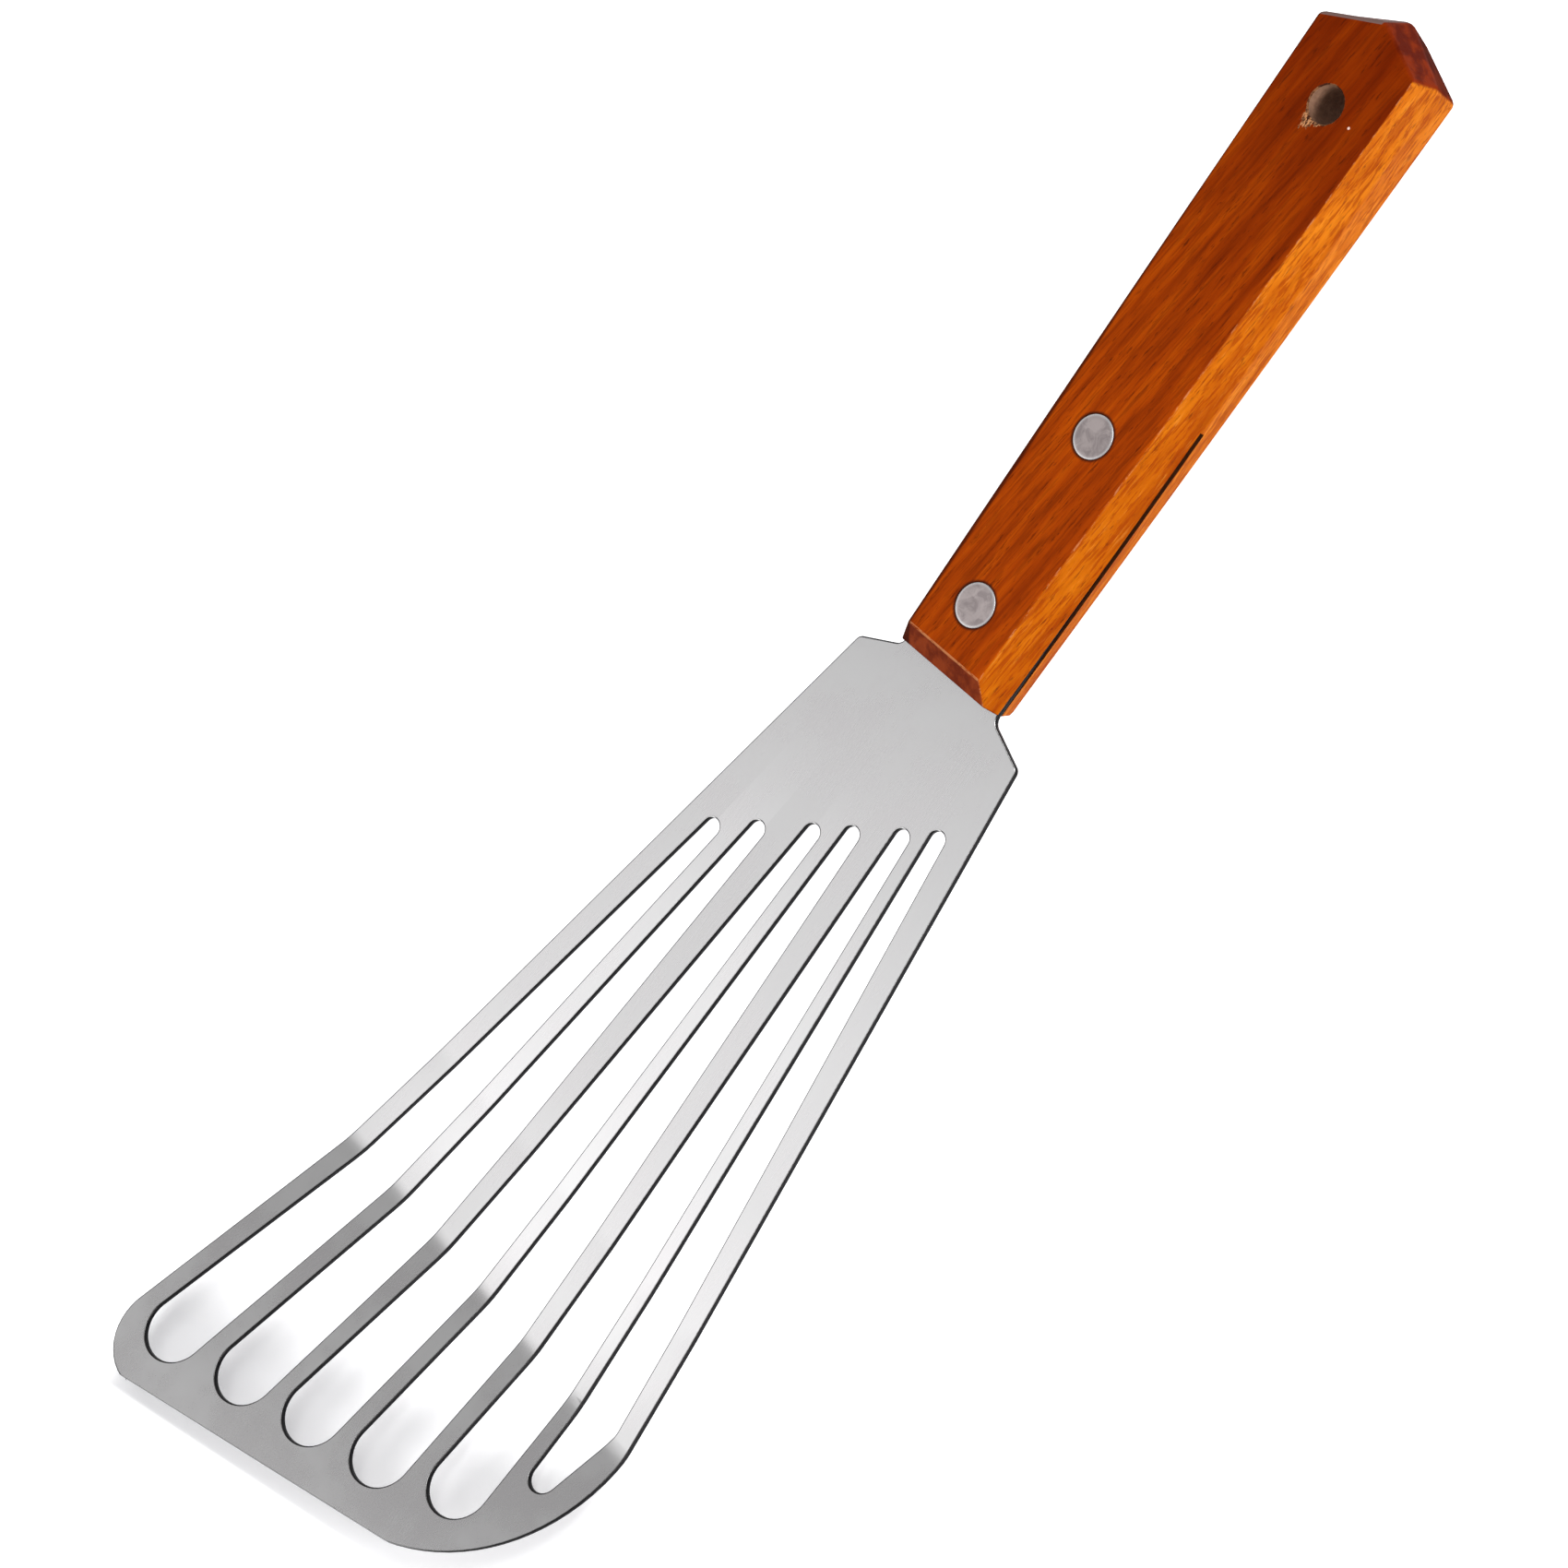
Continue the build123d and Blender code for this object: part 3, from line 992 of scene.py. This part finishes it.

# %% [markdown]
# ## Satin steel
#
# The faces of the blade have a fine satin finish. It is one even grey metal whose gloss
# widens a little in smudged patches. The polishing lines only touch the roughness,
# because as a bump they would sparkle. Along the blade the grey drifts a little and is
# palest at the tip. Painted shade darkens the far ribs just before the bend, so that the
# bend seems to start earlier there. Each slim rib gets a painted reflection of its own,
# a brighter or darker grey. The slots spread like a fan: the way across it, counted in
# slot spacings, numbers the ribs.

# %% Drift along the blade
steel, tree, shader, place = new_material("satin_steel")
scuffs = use_group(tree, scuff_group, {"Vector": place})
shader.inputs["Metallic"].default_value = 1.0
at_x, at_y, _ = parts_of(tree, place)
# The grey drifts along the blade; the rib and bend factors below add painted reflection and painted
# shade to it.
drift_length = 300 * mm
drift_stops = [(0.42, 0.93), (0.55, 0.90), (0.68, 0.905), (0.75, 0.97), (0.80, 1.01)]
drift_stops += [(0.83, 0.96), (0.87, 0.955), (0.915, 1.00), (0.95, 1.05), (0.98, 1.12)]
drift_and_painted_light = ramp(tree, maths(tree, "DIVIDE", at_x, drift_length), drift_stops)
print("steel nodes for the wear:", len(tree.nodes))

# %% A painted reflection for every rib
fan_lean, fan_start = 38.0, -4.17
spread, spread_start = 56.7, -0.83
rib_lights = (0.49, 0.57, 0.47, 0.585, 0.505, 0.575, 0.535)
ribs = len(rib_lights)
rib_stops = [(number / ribs, light) for number, light in enumerate(rib_lights)]
across = scaled(tree, at_x, fan_lean, product(tree, at_y, 1000.0))
slot_spacing = scaled(tree, at_x, spread, spread_start)
fan = maths(tree, "DIVIDE", maths(tree, "ADD", across, fan_start), slot_spacing)
rib_light = ramp(tree, scaled(tree, fan, 1 / ribs, 0.5), rib_stops, "CONSTANT")
ribs_start = span(tree, at_x, 135 * mm, 185 * mm)
ribs_end = span(tree, at_x, 252 * mm, 232 * mm, 0.0, 2.0)
on_ribs = product(tree, ribs_start, ribs_end)
drift_and_painted_light = product(tree, drift_and_painted_light, scaled(tree, maths(tree, "SUBTRACT", rib_light, 0.5), on_ribs, 1.0))
# Painted shade darkens the far ribs just before the bend.
early_bend_painted_shade = product(
    tree,
    span(tree, at_x, 230 * mm, 244 * mm),
    span(tree, at_y, -5 * mm, -22 * mm),
    span(tree, at_x, 250 * mm, 244 * mm),
)
drift_and_painted_light = product(tree, drift_and_painted_light, scaled(tree, early_bend_painted_shade, -0.09, 1.0))
print("steel nodes with the ribs:", len(tree.nodes))

# %% Tone and gloss of the steel
smudge = span(tree, scuffs["Smudges"], 0.35, 0.68)
tint = blend(tree, smudge, (0.560, 0.549, 0.555), (0.588, 0.585, 0.588))
speckle = scaled(tree, maths(tree, "SUBTRACT", scuffs["Specks"], 0.5), 0.03, drift_and_painted_light)
speckled = add_node(tree, "ShaderNodeVectorMath", {0: tint, "Scale": speckle}, operation="SCALE")
tree.links.new(speckled.outputs[0], shader.inputs["Base Color"])
line_gloss = scaled(tree, scuffs["Lines"], 0.06, 0.235)
tree.links.new(scaled(tree, smudge, 0.03, line_gloss), shader.inputs["Roughness"])
emboss(tree, shader, scuffs["Specks"], 0.015, 0.01 * mm)
print("satin steel nodes:", len(tree.nodes))

# %% [markdown]
# ## Tumbled edges and sheared walls
#
# A rounded edge mirrors the room in one thin line, and here that line is painted into
# the colour. Towards the near side it is a bright painted highlight, a duller painted
# grey on the raised tip. All other rounded edges get dark painted shade, and so does
# what lies inside the handle. A punch tears the lower part of each wall and leaves it
# dull, and the walls are painted near black as shade, so from above they are the dark
# lines that draw every slot.

# %% The tumbled edge material
tumbled, tree, shader, place = new_material("tumbled_steel_edge")
scuffs = use_group(tree, scuff_group, {"Vector": place, "Line Turn": 0.3})
shader.inputs["Metallic"].default_value = 1.0
nicked = span(tree, scuffs["Specks"], 0.32, 0.66)
face_x, face_y, _ = facing(tree)
at_x, _, _ = parts_of(tree, place)
# Near edges get a bright painted highlight, a duller painted grey on the raised tip; far edges get dark
# painted shade.
near_edge_painted_highlight = blend(tree, nicked, (0.70, 0.70, 0.70), (0.90, 0.90, 0.90))
on_tip = span(tree, at_x, 238 * mm, 250 * mm)
near_edge_painted_reflection = blend(tree, on_tip, near_edge_painted_highlight, (0.30, 0.30, 0.30))
far_edge_painted_shade = blend(tree, nicked, (0.035, 0.035, 0.036), (0.075, 0.075, 0.077))
near_edge = product(tree, span(tree, face_y, 0.04, 0.12), span(tree, face_y, 0.44, 0.32))
edge_painted_light = blend(tree, near_edge, far_edge_painted_shade, near_edge_painted_reflection)
# Back edges, edges inside the handle and near-facing walls get near-black painted shade.
back_edge = span(tree, face_x, -0.35, -0.6)
in_handle = span(tree, at_x, front_x + 1.2 * mm, front_x)
near_wall = span(tree, face_y, 0.32, 0.44)
painted_dark_shade_mask = highest(tree, back_edge, in_handle, near_wall)
edge_painted_light = blend(tree, painted_dark_shade_mask, edge_painted_light, (0.016, 0.015, 0.015))
tree.links.new(edge_painted_light, shader.inputs["Base Color"])
tree.links.new(scaled(tree, nicked, 0.08, 0.24), shader.inputs["Roughness"])
print("tumbled edge nodes:", len(tree.nodes))

# %% The sheared wall material
sheared, tree, shader, place = new_material("sheared_steel_wall")
scuffs = use_group(tree, scuff_group, {"Vector": place})
shader.inputs["Metallic"].default_value = 1.0
dull = span(tree, scuffs["Specks"], 0.3, 0.7)
# The walls are painted near black: painted shade in the slots.
wall_painted_shade = blend(tree, dull, (0.004, 0.004, 0.005), (0.014, 0.014, 0.016))
tree.links.new(wall_painted_shade, shader.inputs["Base Color"])
tree.links.new(scaled(tree, dull, 0.15, 0.42), shader.inputs["Roughness"])
print("sheared wall nodes:", len(tree.nodes))

# %% [markdown]
# ## Rivet metal
#
# The rivet heads are soft pale metal that was sanded flush with the wood. They are
# mottled, with shallow dents and one coarse direction of sanding lines. The outer rim
# is brighter, a painted highlight on its rounded edge.

# %% The rivet material
rivet_metal, tree, shader, place = new_material("sanded_rivet_metal")
scuffs = use_group(tree, scuff_group, {"Vector": place, "Line Turn": 0.9})
shader.inputs["Metallic"].default_value = 1.0
mottle = noise(tree, place, 400.0, 3.0, 0.6, 0.8)
dents = span(tree, mottle, 0.36, 0.62)
mottled = blend(tree, dents, (0.315, 0.270, 0.270), (0.455, 0.395, 0.390))
# The outer rim gets a brighter painted highlight.
rim_painted_highlight = product(tree, span(tree, from_rivets(tree, place), 3.35, 3.75), 0.7)
rimmed = blend(tree, rim_painted_highlight, mottled, (0.66, 0.645, 0.65))
tree.links.new(rimmed, shader.inputs["Base Color"])
tree.links.new(scaled(tree, scuffs["Lines"], 0.15, 0.30), shader.inputs["Roughness"])
emboss(tree, shader, mottle, 0.25, 0.08 * mm)
for piece in (socket, pin, front_socket, front_pin):
    slots_for(piece, [rivet_metal])
    dress(piece, lambda face: 0)
print("rivet metal nodes:", len(tree.nodes))

# %% [markdown]
# ## Put the pieces in place of the measured nodes
#
# Every dressed piece stands for one measured node and moves with the whole tool. The
# measured nodes stay under them, so they get a fitting finish too.

# %% Ride and replace
stands_for = {
    blade: ("blade", "blade_steel"),
    handle: ("handle", "handle_wood"),
    socket: ("rear_rivet_socket", "rivet_metal"),
    pin: ("rear_rivet_pin", "rivet_metal"),
    front_socket: ("front_rivet_socket", "rivet_metal"),
    front_pin: ("front_rivet_pin", "rivet_metal"),
}
for piece, (node_name, slot_name) in stands_for.items():
    settle(piece)
    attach(piece, "root")
    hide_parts(node_name)
cad_finish = {"blade": steel, "handle": wood}
for node_name, node in nodes.items():
    node.data.materials.clear()
    node.data.materials.append(cad_finish.get(node_name, rivet_metal))
print("pieces:", [piece.name for piece in stands_for])

# %% [markdown]
# ## Floor
#
# Lying down, the spatula touches the table along the bend of the blade and at the lower
# front edge of the handle, so the table leans about three degrees in the handle's frame.
# The floor is a sheet of white paper at that lean. It shades like paper and adds a white
# of its own, which keeps the ground clean. Under the tip it adds less of it, so that the
# shadow there stays. From below the sheet is clear, and the underside can be seen.


# %% What the eye and the mirrors see
def seen_rays(tree):
    rays = add_node(tree, "ShaderNodeLightPath")
    kinds = ("Is Camera Ray", "Is Glossy Ray", "Is Transmission Ray")
    return highest(tree, *(rays.outputs[kind] for kind in kinds))


# %% The floor
lean_x, lean_y = 0.05597, -0.00545
under_hang_hole = -13.68 * mm
middle = (-0.15, 0.0)
middle_height = under_hang_hole + lean_x * middle[0] + lean_y * middle[1]
bpy.ops.object.select_all(action="DESELECT")
bpy.ops.mesh.primitive_plane_add(
    size=1, location=(*middle, middle_height), rotation=(math.atan(lean_y), -math.atan(lean_x), 0)
)
floor = bpy.context.object
floor.name = "paper_floor"
floor.scale = (1.2, 1.8, 1)
settle(floor)
paper = bpy.data.materials.new("white_paper")
paper.use_nodes = True
tree = paper.node_tree
tree.nodes.clear()
at_x, at_y, _ = parts_of(tree, add_node(tree, "ShaderNodeTexCoord").outputs["Object"])
shadow_back = span(tree, scaled(tree, at_y, 0.25, at_x), 258 * mm, 276 * mm)
shadow_front = span(tree, scaled(tree, at_y, 0.17, at_x), 297.6 * mm, 296.1 * mm)
shadow_far = span(tree, at_y, -62 * mm, -55 * mm)
under_tip = product(tree, shadow_back, shadow_front, shadow_far)
less = span(tree, at_y, -55 * mm, 20 * mm, -0.68, -0.54)
own_share = product(tree, seen_rays(tree), scaled(tree, under_tip, less, 0.80))
own_white = add_node(tree, "ShaderNodeEmission", {"Strength": own_share}).outputs[0]
shading = add_node(tree, "ShaderNodeBsdfDiffuse", {"Color": (0.860, 0.855, 0.868, 1)}).outputs[0]
both = add_node(tree, "ShaderNodeAddShader", {0: shading, 1: own_white}).outputs[0]
under_side = add_node(tree, "ShaderNodeNewGeometry").outputs["Backfacing"]
clear = add_node(tree, "ShaderNodeBsdfTransparent").outputs[0]
one_sided = add_node(tree, "ShaderNodeMixShader", {0: under_side, 1: both, 2: clear}).outputs[0]
add_node(tree, "ShaderNodeOutputMaterial", {0: one_sided})
floor.data.materials.append(paper)
print("floor nodes:", len(tree.nodes))

# %% [markdown]
# ## Light
#
# A soft even room fills everything. To the eye and to the steel its walls are white, and
# its ceiling is a calm grey that the raised tip mirrors. A wide lamp low on the near side
# brightens the sloping side of the handle, a soft lamp above the butt throws the tip's
# shadow forward, and a soft box beyond the blade is mirrored just before the bend.

# %% The room
world = bpy.data.worlds.new("soft_room")
bpy.context.scene.world = world
world.use_nodes = True
tree = world.node_tree
tree.nodes.clear()
_, _, outward_z = parts_of(tree, add_node(tree, "ShaderNodeTexCoord").outputs["Generated"])
walls = ramp(tree, outward_z, [(0.55, 1.0), (0.75, 0.46)])
fill = {"Color": (0.98, 0.99, 1.0, 1), "Strength": 0.45}
room = add_node(tree, "ShaderNodeBackground", fill).outputs[0]
white = add_node(tree, "ShaderNodeBackground", {"Color": walls, "Strength": 1.0}).outputs[0]
mixed = add_node(tree, "ShaderNodeMixShader", {0: seen_rays(tree), 1: room, 2: white}).outputs[0]
add_node(tree, "ShaderNodeOutputWorld", {0: mixed})
print("room nodes:", len(tree.nodes))


# %% The lamps
def soft_lamp(name, place, aim, width, height, watts):
    data = bpy.data.lights.new(name, "AREA")
    data.shape = "RECTANGLE"
    data.size = width
    data.size_y = height
    data.energy = watts
    lamp = bpy.data.objects.new(name, data)
    bpy.context.scene.collection.objects.link(lamp)
    lamp.location = place
    lamp.rotation_euler = (Vector(place) - Vector(aim)).to_track_quat("Z", "Y").to_euler()
    print(name, "watts:", watts)


soft_lamp("near_side_lamp", (-0.02, 1.1, 0.45), (0.03, 0, 0), 0.8, 0.35, 12.0)
soft_lamp("butt_lamp", (-0.30, 0.10, 1.1), (0.18, 0, 0), 0.45, 0.45, 3.0)
soft_lamp("far_soft_box", (0.56, -0.54, 0.80), (0.2, 0, 0), 0.5, 0.6, 1.2)

# %% [markdown]
# ## Camera
#
# The picture was taken with a long lens from well above and to the near side, and the
# tool lies across it from lower left to upper right. The place and turn of the camera
# were worked out from the straight edges and the rivets, trying several focal lengths.
# The one kept is given in picture pixels, and the width of the picture makes it a lens.

# %% The camera
camera_place = Vector((-118.326, 834.469, 1281.176)) * mm
look_right = Vector((-0.56437, 0.62905, -0.53458))
look_up = Vector((-0.80773, -0.55451, 0.20024))
look_back = Vector((-0.17047, 0.54481, 0.82105))
sensor_width, focal_pixels, picture_pixels = 36.0, 10000, 1700
camera_data = bpy.data.cameras.new("picture_camera")
camera_data.sensor_width = sensor_width
camera_data.lens = sensor_width * focal_pixels / picture_pixels
camera_data.clip_start = 0.05
camera_data.clip_end = 20.0
camera = bpy.data.objects.new("picture_camera", camera_data)
bpy.context.scene.collection.objects.link(camera)
turn = Matrix((look_right, look_up, look_back)).transposed()
camera.matrix_world = Matrix.Translation(camera_place) @ turn.to_4x4()
bpy.context.scene.camera = camera
bpy.context.scene.view_settings.view_transform = "Standard"
print("lens in mm:", round(camera_data.lens, 1))
